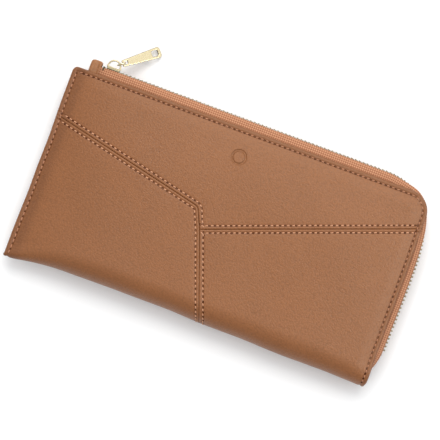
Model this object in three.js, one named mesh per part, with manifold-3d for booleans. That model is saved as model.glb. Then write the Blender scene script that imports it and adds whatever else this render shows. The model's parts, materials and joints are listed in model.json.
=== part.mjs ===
// A long zip around wallet, lying on its back: tan leather covers sewn shut along the left end,
// folded along the bottom, and closed by a brass zip along the top and the right end.
// Millimetres. +X runs along the length towards the closed end of the zip's side run,
// +Y from the bottom fold to the zip, +Z out of the front cover.
// The solids are drawn from the wallet's bottom left corner, with z = 0 half way through it,
// and the finished group is then moved so that it stands on z = 0 with its box centred.
import * as THREE from "three";
import { mergeVertices } from "three/addons/utils/BufferGeometryUtils.js";
import Module from "manifold-3d";

// Leather covers
const COVER_LENGTH = 194.6; // left end to right edge
const COVER_HEIGHT = 101.6; // bottom fold to top edge
const HALF_THICKNESS = 11; // mid-plane to the outer face, at its fullest
const END_HALF_THICKNESS = 1.7; // the same at the sewn left end
const EDGE_DROP = 3; // how much thinner each half is at the zip than in the middle
const SWELL_LENGTH = 60; // left end to where the covers reach full thickness
const SWELL_POWER = 2.5; // how fast they do
const TOP_SLOPE_START = 60; // height where the covers begin to fall towards the top edge
const SIDE_SLOPE_START = 150; // length where they begin to fall towards the right edge
const FOLD_ROUNDNESS = 1.1; // reach of the bottom fold, over the half thickness
const BACK_FULLNESS = 0.6; // how far the back would swell past the flat it rests on
const LEATHER = 1.4;
const SEAM_GAP = 0.3;
const LEFT_CORNER = 2.5; // corner radii
const ZIP_CORNER = 11;
const FOLD_CORNER = 2;

// Seams of the front cover, as points in plan
const SEAM_LEFT = new THREE.Vector2(0, 75.2);
const SEAM_BEND = new THREE.Vector2(84.2, 56);
const SEAM_FORK = new THREE.Vector2(88.9, 45.4);
const SEAM_FOLD = new THREE.Vector2(105.3, 0);
const SEAM_RIGHT = new THREE.Vector2(194.6, 84.8);

// Layers inside each cover, measured down from the cover's outer face
const GAP = 0.3; // between pieces that touch in the real wallet
const BOARD = 0.6;
const LINING = 0.5;
const CARD_STRIP = 0.4;
const CARD_STRIPS = 4;
const CARD_STEP = 11; // each strip stands this much lower than the one behind it
const DIVIDER = 0.6;

// Zip. Its line in plan, along the outer faces of the teeth, turns smoothly at each bend.
const CHAIN_TOP = 106.3; // height of the straight run along the top
const CHAIN_BENDS = [
  new THREE.Vector2(164, CHAIN_TOP),
  new THREE.Vector2(174, CHAIN_TOP),
  new THREE.Vector2(191.8, 101.2),
  new THREE.Vector2(197.6, 84),
  new THREE.Vector2(199, 62),
];
const CHAIN_END = new THREE.Vector2(198.2, 19.6);
const TAIL_BEND = new THREE.Vector2(197.9, 13.5); // past the teeth, where the tape turns in
const TAPE_END = new THREE.Vector2(195.9, 9.2);
const CHAIN_DEPTH = 2.1; // teeth, along the facing direction
const ROW_INNER = 0.9; // each row of teeth, out from the mid-plane
const ROW_OUTER = 2.45;
const TAPE = 0.5;
const TAPE_INSET = 7; // how far the tape reaches in behind the covers
const ZIP_START = 27; // length at which the movable half of the zip begins
const TAPE_START = 14.4;
const ZIP_STEPS = 40; // straight stretches that its strips are built from
const STOP_LENGTH = 1.1;
const BOTTOM_STOP_LENGTH = 2.4;

// Folded tab over the zip's start
const TAB = { left: 7.7, right: 13.8, bottom: 95, top: 108.2, corner: 1.6, thickness: 2.6 };

// How far each inner layer reaches, in plan
const BOARD_SPAN = { left: 25, right: 184, bottom: 13, top: 93 };
const LINING_SPAN = { left: 22, right: 186, bottom: 12.5, top: 95 };
const SLIP_SPAN = { left: 28, right: 182, bottom: 13.5, top: 80 };
const CARD_SPAN = { left: 28, right: 182, bottom: 13.5, top: 90 };
const DIVIDER_SPAN = { left: 24, right: 184, bottom: 12, top: 94 };
const DIVIDER_LOW = 0.4; // its underside, over the mid-plane

// Slider and pull
const SLIDER_START = 16;
const SLIDER_LENGTH = 7.5;
const SLIDER_HALF_WIDTH = 3.6;
const SLIDER_PLATE = 0.8;
const SLIDER_LIP = 0.6;
const SLIDER_SLOT_TOP = 0.4; // slot between the lips that the tape runs in, down from the chain
const SLIDER_SLOT_BOTTOM = 1.9;
const SLIDER_POST_LENGTH = 2.4;
const SLIDER_POST_WIDTH = 1.2;
const WELD = 0.01; // overlap of parts that are one piece
const CROWN_HEIGHT = 4;
const CROWN_STRAP = 0.7;
const CROWN_HALF_WIDTH = 0.6;
const PULL_ANGLE = THREE.MathUtils.degToRad(39.5); // in plan, up from the zip's direction
const PULL_DROOP = THREE.MathUtils.degToRad(24); // the tip lies lower than the link
const CROWN_HOLD = THREE.MathUtils.degToRad(44); // where on the crown's arch the link hangs
const LINK_RADIUS = 2;
const LINK_WIRE = 0.4;
const LINK_OFFSET = 0.85; // crown strap to the link's centre
const PULL_LENGTH = 22.2;
const PULL_NARROW = 3.4;
const PULL_WIDE = 5.9;
const PULL_THICKNESS = 1;
const PULL_GAP = 0.5; // link's centre to the pull's near end
const PULL_BAR = 0.85; // near end to the window that the link passes through
const WINDOW_LENGTH = 2.2;
const WINDOW_NEAR_HALF = 0.75;
const WINDOW_FAR_HALF = 0.85;
const EYE_RADIUS = 1.5;
const EYE_FROM_END = 3.1;
const PULL_NEAR_CORNER = 0.6;
const PULL_FAR_CORNER = 1.6;

const finish = (color, roughness, metalness = 0) =>
  new THREE.MeshStandardMaterial({ color, roughness, metalness });
const tanLeather = finish(0xa87352, 0.6);
const darkLeather = finish(0x8c5c3e, 0.6);
const liningCloth = finish(0x7a5238, 0.85);
const board = finish(0xb9a88f, 0.9);
const tapeCloth = finish(0xcd8c69, 0.9);
const brass = finish(0xe0cb94, 0.3, 1);

const wasm = await Module();
wasm.setup();

// A three.js geometry as a manifold-3d solid, with its shared vertices merged.
function solidOf(geometry) {
  const plain = geometry.clone();
  plain.deleteAttribute("normal");
  plain.deleteAttribute("uv");
  const merged = mergeVertices(plain, 1e-4);
  return new wasm.Manifold(
    new wasm.Mesh({
      numProp: 3,
      vertProperties: merged.getAttribute("position").array,
      triVerts: new Uint32Array(merged.index.array),
    }),
  );
}

// A manifold-3d solid as a three.js geometry.
function geometryOf(manifold) {
  const mesh = manifold.getMesh();
  const corners = new Float32Array(mesh.numVert * 3);
  for (let i = 0; i < mesh.numVert; i += 1) {
    for (let k = 0; k < 3; k += 1) corners[3 * i + k] = mesh.vertProperties[mesh.numProp * i + k];
  }
  const geometry = new THREE.BufferGeometry();
  geometry.setAttribute("position", new THREE.BufferAttribute(corners, 3));
  geometry.setIndex(new THREE.BufferAttribute(new Uint32Array(mesh.triVerts), 1));
  geometry.computeVertexNormals();
  return geometry;
}

// A block of steps along and across, bent into shape: place(u, v, w) takes each corner's
// place in the unit cube and says where it goes.
function bentBlock(along, across, place) {
  const geometry = new THREE.BoxGeometry(1, 1, 1, along, across, 1);
  const corners = geometry.getAttribute("position");
  const unit = new THREE.Vector3();
  for (let i = 0; i < corners.count; i += 1) {
    unit.fromBufferAttribute(corners, i).addScalar(0.5);
    const point = place(unit.x, unit.y, unit.z);
    corners.setXYZ(i, point.x, point.y, point.z);
  }
  geometry.computeVertexNormals();
  return geometry;
}

const { clamp, lerp } = THREE.MathUtils;

// Half thickness away from the bottom fold, at a length x and a height y.
function fullness(x, y, swell) {
  const top = clamp((y - TOP_SLOPE_START) / (COVER_HEIGHT - TOP_SLOPE_START), 0, 1);
  const side = clamp((x - SIDE_SLOPE_START) / (COVER_LENGTH - SIDE_SLOPE_START), 0, 1);
  const drop = 1 - (1 - top ** 2) * (1 - side ** 2);
  const full = HALF_THICKNESS + swell - EDGE_DROP * drop;
  const grown = 1 - (1 - clamp(x / SWELL_LENGTH, 0, 1)) ** SWELL_POWER;
  return Math.min(HALF_THICKNESS, END_HALF_THICKNESS + (full - END_HALF_THICKNESS) * grown);
}

const foldReach = (x, swell) => FOLD_ROUNDNESS * fullness(x, 0, swell);

// Half thickness anywhere, the rounded bottom fold included.
function halfThickness(x, y, swell = 0) {
  const inFromFold = 1 - clamp(y / foldReach(x, swell), 0, 1);
  return fullness(x, y, swell) * Math.sqrt(1 - inFromFold ** 2);
}

// A point of the cover's outer face: t = 0 at the fold's outermost line, 1 at the top edge.
function coverPoint(x, t, swell) {
  const foldShare = 0.3;
  const reach = foldReach(x, swell);
  if (t < foldShare) {
    const turn = (t / foldShare) * (Math.PI / 2);
    const y = reach * (1 - Math.cos(turn));
    return new THREE.Vector3(x, y, fullness(x, y, swell) * Math.sin(turn));
  }
  const y = lerp(reach, COVER_HEIGHT, (t - foldShare) / (1 - foldShare));
  return new THREE.Vector3(x, y, fullness(x, y, swell));
}

// The same, a given depth into the leather.
function coverDepth(x, t, depth, swell) {
  const step = 1e-3;
  const here = coverPoint(x, t, swell);
  const along = coverPoint(x + step, t, swell).sub(here);
  const nearby = coverPoint(x, t > 0.5 ? t - step : t + step, swell);
  const across = t > 0.5 ? here.clone().sub(nearby) : nearby.sub(here);
  const inward = across.cross(along).normalize();
  if (t === 0) inward.set(0, 1, 0);
  return here.addScaledVector(inward, depth);
}

// The rounded outline of a cover, as a tall solid to trim it with.
function coverOutline() {
  const shape = new THREE.Shape();
  const right = COVER_LENGTH;
  const top = COVER_HEIGHT;
  shape.moveTo(LEFT_CORNER, 0);
  shape.lineTo(right - FOLD_CORNER, 0);
  shape.absarc(right - FOLD_CORNER, FOLD_CORNER, FOLD_CORNER, -Math.PI / 2, 0);
  shape.absarc(right - ZIP_CORNER, top - ZIP_CORNER, ZIP_CORNER, 0, Math.PI / 2);
  shape.absarc(LEFT_CORNER, top - LEFT_CORNER, LEFT_CORNER, Math.PI / 2, Math.PI);
  shape.absarc(LEFT_CORNER, LEFT_CORNER, LEFT_CORNER, Math.PI, 1.5 * Math.PI);
  const depth = 4 * HALF_THICKNESS;
  const geometry = new THREE.ExtrudeGeometry(shape, { depth, bevelEnabled: false, curveSegments: 8 });
  return solidOf(geometry.translate(0, 0, -depth / 2));
}

// An upright slab along one seam, as wide as the gap left between two pieces of leather.
function seamSlab(from, to) {
  const run = to.clone().sub(from);
  const overrun = 2 * SEAM_GAP;
  const slab = new THREE.BoxGeometry(run.length() + overrun, SEAM_GAP, 4 * HALF_THICKNESS);
  slab.rotateZ(run.angle());
  const middle = from.clone().add(to).multiplyScalar(0.5);
  return solidOf(slab.translate(middle.x, middle.y, 0));
}

// One whole cover: side is 1 for the front and -1 for the back.
function wholeCover(side) {
  const swell = side > 0 ? 0 : BACK_FULLNESS;
  const lift = (side * GAP) / 2;
  const skin = bentBlock(26, 16, (u, v, w) => {
    const depth = side > 0 ? LEATHER * (1 - w) : LEATHER * w;
    const point = coverDepth(u * COVER_LENGTH, v, depth, swell);
    const height = Math.max(0, point.z);
    return point.setZ(side * Math.min(height, HALF_THICKNESS - GAP / 2) + lift);
  });
  return solidOf(skin).intersect(coverOutline());
}

// The front cover's three pieces of leather, parted along the seams.
function frontPieces() {
  const seams = [
    seamSlab(SEAM_LEFT, SEAM_BEND),
    seamSlab(SEAM_BEND, SEAM_FORK),
    seamSlab(SEAM_FORK, SEAM_FOLD),
    seamSlab(SEAM_FORK, SEAM_RIGHT),
  ].reduce((all, slab) => all.add(slab));
  const middle = (piece) => {
    const { min, max } = piece.boundingBox();
    return { x: (min[0] + max[0]) / 2, y: (min[1] + max[1]) / 2 };
  };
  const pieces = wholeCover(1).subtract(seams).decompose();
  pieces.sort((a, b) => middle(b).y - middle(a).y);
  const [upper, ...lower] = pieces;
  lower.sort((a, b) => middle(a).x - middle(b).x);
  return { upper, left: lower[0], right: lower[1] };
}

// A sheet that follows the inside of a cover, a given depth below the cover's outer face.
function innerSheet(side, depth, thickness, span) {
  return bentBlock(16, 8, (u, v, w) => {
    const x = lerp(span.left, span.right, u);
    const y = lerp(span.bottom, span.top, v);
    const down = side > 0 ? depth + thickness * (1 - w) : depth + thickness * w;
    return new THREE.Vector3(x, y, side * (halfThickness(x, y) - down));
  });
}

// The zip's line in plan, along the outer faces of its teeth: the tape goes on past them.
function chainLine(start, withTail) {
  const turns = [...CHAIN_BENDS, CHAIN_END];
  const halfWay = (k) => turns[k].clone().lerp(turns[k + 1], 0.5);
  const line = new THREE.Path();
  line.moveTo(start, CHAIN_TOP);
  line.lineTo(halfWay(0).x, halfWay(0).y);
  for (let k = 1; k < CHAIN_BENDS.length; k += 1) {
    const next = halfWay(k);
    line.quadraticCurveTo(turns[k].x, turns[k].y, next.x, next.y);
  }
  line.lineTo(CHAIN_END.x, CHAIN_END.y);
  if (withTail) line.quadraticCurveTo(TAIL_BEND.x, TAIL_BEND.y, TAPE_END.x, TAPE_END.y);
  return line;
}

// A strip swept along the zip's line: place(v, w, here, inward) gives how far in from the line
// a corner lies and how high over the mid-plane.
function zipStrip(line, steps, across, place) {
  return bentBlock(steps, across, (u, v, w) => {
    const here = line.getPointAt(u);
    const ahead = line.getTangentAt(u);
    const inward = new THREE.Vector2(ahead.y, -ahead.x);
    const { inset, height } = place(v, w, here, inward);
    return new THREE.Vector3(here.x + inward.x * inset, here.y + inward.y * inset, height);
  });
}

// The tape's middle line across its width, from the teeth in to its edge behind the cover.
function tapeRoute(here, inward) {
  const underSkin = LEATHER + GAP + TAPE / 2;
  const skinOver = (inset) => {
    const y = Math.min(here.y + inward.y * inset, COVER_HEIGHT);
    return halfThickness(here.x + inward.x * inset, y) - underSkin;
  };
  const low = ROW_OUTER + GAP;
  return [
    new THREE.Vector2(1, low),
    new THREE.Vector2(1.2, Math.min(low + 1.4, skinOver(3.2))),
    new THREE.Vector2(3.2, Math.min(low + 2.6, skinOver(3.2))),
    new THREE.Vector2(4.8, skinOver(4.8)),
    new THREE.Vector2(TAPE_INSET, skinOver(TAPE_INSET)),
  ];
}

// Half of the zip's tape: side is 1 for the front half and -1 for the back half.
function zipTape(side, start) {
  return zipStrip(chainLine(start, true), ZIP_STEPS, 4, (v, w, here, inward) => {
    const route = tapeRoute(here, inward);
    const last = route.length - 1;
    const index = Math.round(last * (side > 0 ? 1 - v : v));
    const run = route[Math.min(last, index + 1)].clone().sub(route[Math.max(0, index - 1)]).normalize();
    const offset = TAPE * (w - 0.5);
    const point = route[index];
    return { inset: point.x - run.y * offset, height: side * (point.y + run.x * offset) };
  });
}

// One row of teeth, as the strip that they fill.
function zipRow(side, start) {
  return zipStrip(chainLine(start, false), ZIP_STEPS, 1, (v, w) => {
    const height = side > 0 ? lerp(ROW_INNER, ROW_OUTER, w) : lerp(-ROW_OUTER, -ROW_INNER, w);
    return { inset: CHAIN_DEPTH * (1 - v), height };
  });
}

// A small square stop at the start of one row.
function topStop(side) {
  const stop = new THREE.BoxGeometry(STOP_LENGTH, CHAIN_DEPTH, ROW_OUTER - ROW_INNER);
  const middle = (side * (ROW_INNER + ROW_OUTER)) / 2;
  return stop.translate(TAPE_START + STOP_LENGTH / 2, CHAIN_TOP - CHAIN_DEPTH / 2, middle);
}

// The square stop that holds both rows together at the end of the side run.
function bottomStop() {
  const stop = new THREE.BoxGeometry(CHAIN_DEPTH, BOTTOM_STOP_LENGTH, 2 * ROW_OUTER);
  const sideRun = CHAIN_BENDS[CHAIN_BENDS.length - 1].clone().sub(CHAIN_END);
  stop.rotateZ(sideRun.angle() - Math.PI / 2);
  return stop.translate(CHAIN_END.x - CHAIN_DEPTH / 2, CHAIN_END.y - BOTTOM_STOP_LENGTH / 2 - GAP, 0);
}

// The folded leather tab that covers the zip's start, held between the two covers.
function endTab() {
  const { left, right, bottom, top, corner, thickness } = TAB;
  const shape = new THREE.Shape();
  shape.moveTo(left, bottom);
  shape.lineTo(right, bottom);
  shape.lineTo(right, top);
  shape.lineTo(left + corner, top);
  shape.absarc(left + corner, top - corner, corner, Math.PI / 2, Math.PI);
  const tab = new THREE.ExtrudeGeometry(shape, { depth: thickness, bevelEnabled: false });
  return tab.translate(0, 0, -thickness / 2);
}

// The flat sheet that parts the wallet's inside into two pockets.
function centreDivider() {
  const { left, right, bottom, top } = DIVIDER_SPAN;
  const sheet = new THREE.BoxGeometry(right - left, top - bottom, DIVIDER);
  return sheet.translate((left + right) / 2, (bottom + top) / 2, DIVIDER_LOW + DIVIDER / 2);
}

// Card strip number i, counted from the lining: each next one stands lower.
function cardStrip(i) {
  const depth = LEATHER + BOARD + LINING + 3 * GAP + i * (CARD_STRIP + GAP);
  return innerSheet(-1, depth, CARD_STRIP, { ...CARD_SPAN, top: CARD_SPAN.top - i * CARD_STEP });
}

// The slider's body: two plates with a lip along each side, joined by a narrow post in front.
function sliderBody() {
  const wide = 2 * SLIDER_HALF_WIDTH;
  const block = (length, height, width, y, z) => {
    const bar = new THREE.BoxGeometry(length, height, width);
    return solidOf(bar.translate(SLIDER_START + length / 2, y + height / 2, z));
  };
  const top = CHAIN_TOP + GAP;
  const bottom = CHAIN_TOP - CHAIN_DEPTH - GAP;
  const slotTop = CHAIN_TOP - SLIDER_SLOT_TOP;
  const slotBottom = CHAIN_TOP - SLIDER_SLOT_BOTTOM;
  const parts = [
    block(SLIDER_LENGTH, SLIDER_PLATE, wide, top, 0),
    block(SLIDER_LENGTH, SLIDER_PLATE, wide, bottom - SLIDER_PLATE, 0),
    block(SLIDER_POST_LENGTH, top - bottom + 2 * WELD, SLIDER_POST_WIDTH, bottom - WELD, 0),
  ];
  for (const side of [-1, 1]) {
    const lipAt = side * (SLIDER_HALF_WIDTH - SLIDER_LIP / 2);
    parts.push(block(SLIDER_LENGTH, top - slotTop + WELD, SLIDER_LIP, slotTop, lipAt));
    parts.push(block(SLIDER_LENGTH, slotBottom - bottom + WELD, SLIDER_LIP, bottom - WELD, lipAt));
  }
  return geometryOf(parts.reduce((all, part) => all.add(part)));
}

const crownFoot = CHAIN_TOP + GAP + SLIDER_PLATE + 0.1;
const crownMiddle = SLIDER_START + SLIDER_LENGTH / 2 - 0.2;
const crownReach = SLIDER_LENGTH / 2 - 0.1;

// The crown: the small arch over the slider that the pull's link hangs on.
function sliderCrown() {
  const arch = new THREE.Shape();
  arch.moveTo(crownReach, 0);
  arch.absellipse(0, 0, crownReach, CROWN_HEIGHT, 0, Math.PI);
  arch.lineTo(CROWN_STRAP - crownReach, 0);
  arch.absellipse(0, 0, crownReach - CROWN_STRAP, CROWN_HEIGHT - CROWN_STRAP, Math.PI, 0, true);
  const depth = 2 * CROWN_HALF_WIDTH;
  const geometry = new THREE.ExtrudeGeometry(arch, { depth, bevelEnabled: false, curveSegments: 12 });
  return geometry.translate(crownMiddle, crownFoot, -depth / 2);
}

// Where the link holds the crown's strap.
function linkHold() {
  const half = CROWN_STRAP / 2;
  return new THREE.Vector3(
    crownMiddle + (crownReach - half) * Math.cos(CROWN_HOLD),
    crownFoot + (CROWN_HEIGHT - half) * Math.sin(CROWN_HOLD),
    0,
  );
}

// The link: a small wire ring, upright across the crown's strap.
function pullLink() {
  const ring = new THREE.TorusGeometry(LINK_RADIUS, LINK_WIRE, 6, 16);
  return ring.rotateX(Math.PI / 2).translate(LINK_OFFSET, 0, 0);
}

// The pull: a flat plate that widens away from the link, with a window at each end.
function pullTab() {
  const near = LINK_OFFSET + PULL_GAP;
  const far = near + PULL_LENGTH;
  const nearCentre = near + PULL_NEAR_CORNER;
  const nearSide = PULL_NARROW / 2 - PULL_NEAR_CORNER;
  const farCentre = far - PULL_FAR_CORNER;
  const farSide = PULL_WIDE / 2 - PULL_FAR_CORNER;
  const plate = new THREE.Shape();
  plate.moveTo(nearCentre, -PULL_NARROW / 2);
  plate.absarc(farCentre, -farSide, PULL_FAR_CORNER, -Math.PI / 2, 0);
  plate.absarc(farCentre, farSide, PULL_FAR_CORNER, 0, Math.PI / 2);
  plate.absarc(nearCentre, nearSide, PULL_NEAR_CORNER, Math.PI / 2, Math.PI);
  plate.absarc(nearCentre, -nearSide, PULL_NEAR_CORNER, Math.PI, 1.5 * Math.PI);
  const windowNear = near + PULL_BAR;
  const windowFar = windowNear + WINDOW_LENGTH;
  const window = new THREE.Path();
  window.moveTo(windowNear, -WINDOW_NEAR_HALF);
  window.lineTo(windowNear, WINDOW_NEAR_HALF);
  window.lineTo(windowFar, WINDOW_FAR_HALF);
  window.lineTo(windowFar, -WINDOW_FAR_HALF);
  const eye = new THREE.Path();
  eye.absarc(far - EYE_FROM_END, 0, EYE_RADIUS, 0, 2 * Math.PI, true);
  plate.holes.push(window, eye);
  const depth = PULL_THICKNESS;
  const geometry = new THREE.ExtrudeGeometry(plate, { depth, bevelEnabled: false, curveSegments: 8 });
  return geometry.translate(0, 0, -depth / 2);
}

function named(name, geometry, material) {
  const mesh = new THREE.Mesh(geometry, material);
  mesh.name = name;
  return mesh;
}

// The pull and its link hang from the crown, turned to the pull's angle and drooping.
function hangingPull() {
  const hanging = new THREE.Group();
  hanging.position.copy(linkHold());
  hanging.rotation.set(0, PULL_DROOP, PULL_ANGLE, "ZYX");
  hanging.add(named("pull_link", pullLink(), brass));
  hanging.add(named("pull_tab", pullTab(), brass));
  return hanging;
}

function wallet() {
  const group = new THREE.Group();
  const add = (name, geometry, material) => group.add(named(name, geometry, material));
  const front = frontPieces();
  add("front_upper_leather", geometryOf(front.upper), tanLeather);
  add("front_left_leather", geometryOf(front.left), tanLeather);
  add("front_right_leather", geometryOf(front.right), tanLeather);
  add("back_leather", geometryOf(wholeCover(-1)), tanLeather);

  const boardDepth = LEATHER + GAP;
  const liningDepth = boardDepth + BOARD + GAP;
  const slipDepth = liningDepth + LINING + GAP;
  add("front_board", innerSheet(1, boardDepth, BOARD, BOARD_SPAN), board);
  add("back_board", innerSheet(-1, boardDepth, BOARD, BOARD_SPAN), board);
  add("front_lining", innerSheet(1, liningDepth, LINING, LINING_SPAN), liningCloth);
  add("back_lining", innerSheet(-1, liningDepth, LINING, LINING_SPAN), liningCloth);
  add("front_slip_pocket", innerSheet(1, slipDepth, LINING, SLIP_SPAN), darkLeather);
  for (let i = 0; i < CARD_STRIPS; i += 1) add(`card_slot_${i + 1}`, cardStrip(i), darkLeather);
  add("centre_divider", centreDivider(), liningCloth);

  add("zip_tape_front", zipTape(1, ZIP_START), tapeCloth);
  add("zip_tape_back", zipTape(-1, ZIP_START), tapeCloth);
  add("zip_teeth_front", zipRow(1, ZIP_START), brass);
  add("zip_teeth_back", zipRow(-1, TAPE_START + STOP_LENGTH + GAP), brass);
  add("zip_top_stop_front", topStop(1), brass);
  add("zip_top_stop_back", topStop(-1), brass);
  add("zip_bottom_stop", bottomStop(), brass);
  add("zip_end_tab", endTab(), tanLeather);

  add("slider_body", sliderBody(), brass);
  add("slider_crown", sliderCrown(), brass);
  group.add(hangingPull());
  return group;
}

// Stand the wallet on z = 0 with the middle of its box over the origin.
const placed = new THREE.Group().add(wallet());
const box = new THREE.Box3().setFromObject(placed, true);
const middle = box.getCenter(new THREE.Vector3());
placed.children[0].position.set(-middle.x, -middle.y, -box.min.z);

export default placed;
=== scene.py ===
"""A long tan leather wallet with an L-shaped zip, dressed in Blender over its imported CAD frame.

Lengths are in millimetres in the wallet's own corner frame and turned to metres by place():
x runs right from the sewn left end, y up from the bottom fold, z out from the mid-plane.
The covers are unrolled: across a cover, q is y on its face and goes on down round the bottom
fold, and beyond the trimmed edges the leather goes on round and underneath.
"""
import json
import math

import bmesh
import bpy
import numpy as np
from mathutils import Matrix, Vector


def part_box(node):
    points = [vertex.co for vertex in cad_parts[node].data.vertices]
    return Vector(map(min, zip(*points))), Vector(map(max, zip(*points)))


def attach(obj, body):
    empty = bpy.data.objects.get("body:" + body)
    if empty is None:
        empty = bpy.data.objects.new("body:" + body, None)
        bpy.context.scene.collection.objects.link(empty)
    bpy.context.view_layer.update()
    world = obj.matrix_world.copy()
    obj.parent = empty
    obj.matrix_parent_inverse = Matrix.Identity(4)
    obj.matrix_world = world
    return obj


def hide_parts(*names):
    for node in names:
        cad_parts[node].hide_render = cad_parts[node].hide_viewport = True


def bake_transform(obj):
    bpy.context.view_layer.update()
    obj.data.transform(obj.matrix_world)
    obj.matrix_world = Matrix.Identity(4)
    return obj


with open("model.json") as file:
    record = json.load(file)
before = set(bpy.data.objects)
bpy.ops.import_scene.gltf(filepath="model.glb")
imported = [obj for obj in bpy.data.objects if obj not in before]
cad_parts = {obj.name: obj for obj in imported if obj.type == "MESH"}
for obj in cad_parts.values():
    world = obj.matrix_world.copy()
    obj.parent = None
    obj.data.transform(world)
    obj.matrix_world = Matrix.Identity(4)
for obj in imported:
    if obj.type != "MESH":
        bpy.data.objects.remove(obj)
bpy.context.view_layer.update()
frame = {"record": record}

MM = 0.001
back_low, back_high = (np.array(corner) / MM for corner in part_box("back_leather"))
joints = {joint["name"]: joint for joint in frame["record"]["behaviour"]["joints"]}
MID_HEIGHT = joints["cover_opening"]["pos_m"][2] / MM
CORNER = np.array([back_low[0], back_low[1], MID_HEIGHT])
LENGTH = back_high[0] - back_low[0]
HEIGHT = back_high[1] - back_low[1]

# Covers, as in the CAD model
HALF = MID_HEIGHT
END_HALF = 1.7
EDGE_DROP = 3.0
SWELL_LENGTH = 60.0
SWELL_POWER = 2.5
TOP_SLOPE_START = 60.0
SIDE_SLOPE_START = 150.0
FOLD_ROUNDNESS = 1.1
BACK_SWELL = 0.6
LEATHER = 1.4
LEFT_CORNER = 2.5
ZIP_CORNER = 11.0

# Seams of the front
SEAM_LEFT = (0.0, 75.2)
SEAM_BEND = (84.2, 56.0)
SEAM_FORK = (88.9, 45.4)
SEAM_FOLD = (105.3, 0.0)
SEAM_RIGHT = (LENGTH, 84.8)
BEND_RADIUS = 3.6
STITCH_FROM_SEAM = 1.85
STITCH_FROM_EDGE = 2.3
STITCH_PITCH = 2.72

# Third material coordinate on a cover, times its side: keeps the front's pattern off the back
SIDE_MARK = 40.0

# Turned edges
ROLL = LEATHER / 2
UNDER = 1.2
BEYOND = math.pi * ROLL + UNDER - ROLL
TUCK = 1.4  # how far the front's leather goes on past the fold, inside the back's

# Inside, as depths below a cover's outer face
GAP = 0.3
BOARD = 0.6
LINING = 0.5
CARD_STRIP = 0.4
CARD_STRIPS = 4
CARD_STEP = 11.0

# Zip
CHAIN_TOP = 106.3
CHAIN_BENDS = ((164.0, CHAIN_TOP), (174.0, CHAIN_TOP), (191.8, 101.2), (197.6, 84.0), (199.0, 62.0))
CHAIN_END = (198.2, 19.6)
TAIL_BEND = (197.9, 13.5)
TAPE_END = (195.9, 9.2)
TAPE_START = 14.4
TAPE_TUCK = 2.0  # how far the tape's start reaches into the end tab
TAPE = 0.5
ROW_OUTER = 2.45
TOOTH_PITCH = 2.1
# Two values each: along the top, and down the side
ROW_PROUD = (0.1, 0.4)  # how far the teeth stand beyond the zip's line
BACK_ROW_INSET = (0.1, 0.5)  # how far the back row of teeth sits inside the front one
FIRST_TOOTH = 2.2  # along the zip's line

# Slider and pull
SLIDER_PLATE = 0.8
SLIDER_LIP = 0.6
INNER_PLATE_SHARE = 0.72  # the slider's lower plate is this much as wide as its upper one
CROWN_STRAP = 0.85
LINK_OFFSET = 0.85
LINK_RADIUS = 2.0
LINK_WIRE = 0.4
PULL_START = 0.5  # beyond the link's middle
PULL_BAR = 0.85  # what is left of the pull before the link's slot
PULL_LENGTH = 22.2
PULL_NARROW = 3.4
PULL_WIDE = 5.9
PULL_THICKNESS = 1.0
PULL_BEVEL = 0.32


# ---------------------------------------------------------------- frame and meshes

def place(points):
    """Points in the wallet's corner frame, in mm, as points of the shared frame in metres."""
    return (np.asarray(points, float) + CORNER) * MM


def unit(vectors):
    """The same directions, each one long."""
    return vectors / np.linalg.norm(vectors, axis=-1, keepdims=True)


def left_of(runs):
    """Directions in plan turned a quarter to the left."""
    return np.stack([-runs[:, 1], runs[:, 0]], axis=1)


def grid_faces(rows, columns, first=0, flip=False):
    """The four-sided faces of a grid of points stored row by row."""
    row, column = np.meshgrid(np.arange(rows - 1), np.arange(columns - 1), indexing="ij")
    corner = (first + row * columns + column).ravel()
    faces = np.stack([corner, corner + columns, corner + columns + 1, corner + 1], axis=1)
    return faces[:, ::-1] if flip else faces


def ring_faces(rings, sides):
    """The faces of a tube whose rings of points are stored one after another."""
    ring, side = np.meshgrid(np.arange(rings - 1), np.arange(sides), indexing="ij")
    here = (ring * sides + side).ravel()
    across = (ring * sides + (side + 1) % sides).ravel()
    return np.stack([here, across, across + sides, here + sides], axis=1)


def copied_faces(one, size, total):
    """One part's faces for each of its copies, whose points are stored one after another."""
    return [np.asarray(face) + start for start in range(0, total, size) for face in one]


def new_mesh(name, points, faces, flat=None, shade=None):
    """An object of this mesh, smooth shaded, with flat and shade on its points for materials."""
    mesh = bpy.data.meshes.new(name)
    mesh.from_pydata(place(points).tolist(), [], [tuple(int(i) for i in face) for face in faces])
    if flat is not None:
        shade = np.zeros(len(points)) if shade is None else shade
        attributes = ("flat", "FLOAT_VECTOR", "vector", flat), ("shade", "FLOAT", "value", shade)
        for label, kind, field, values in attributes:
            attribute = mesh.attributes.new(label, kind, "POINT")
            attribute.data.foreach_set(field, np.ascontiguousarray(values, np.float32).ravel())
    mesh.shade_smooth()
    piece = bpy.data.objects.new(name, mesh)
    bpy.context.scene.collection.objects.link(piece)
    return piece


def face_outward(piece):
    """Turns every face of a closed mesh outward."""
    work = bmesh.new()
    work.from_mesh(piece.data)
    bmesh.ops.recalc_face_normals(work, faces=work.faces)
    work.to_mesh(piece.data)
    work.free()


def finish_piece(piece, material, slot, body=None, stands_for=()):
    """Gives a piece its material, and moves it with one body or bakes its place into its mesh."""
    piece.data.materials.append(material)
    if body:
        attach(piece, body)
    else:
        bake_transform(piece)
    if stands_for:
        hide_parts(*stands_for)


def bump_at(value, centre, width):
    """A smooth bump of height 1 at centre."""
    return np.exp(-(((value - centre) / width) ** 2))


def smooth_step(value, start, end):
    t = np.clip((value - start) / (end - start), 0, 1)
    return t * t * (3 - 2 * t)


# ---------------------------------------------------------------- the covers' surface

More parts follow.
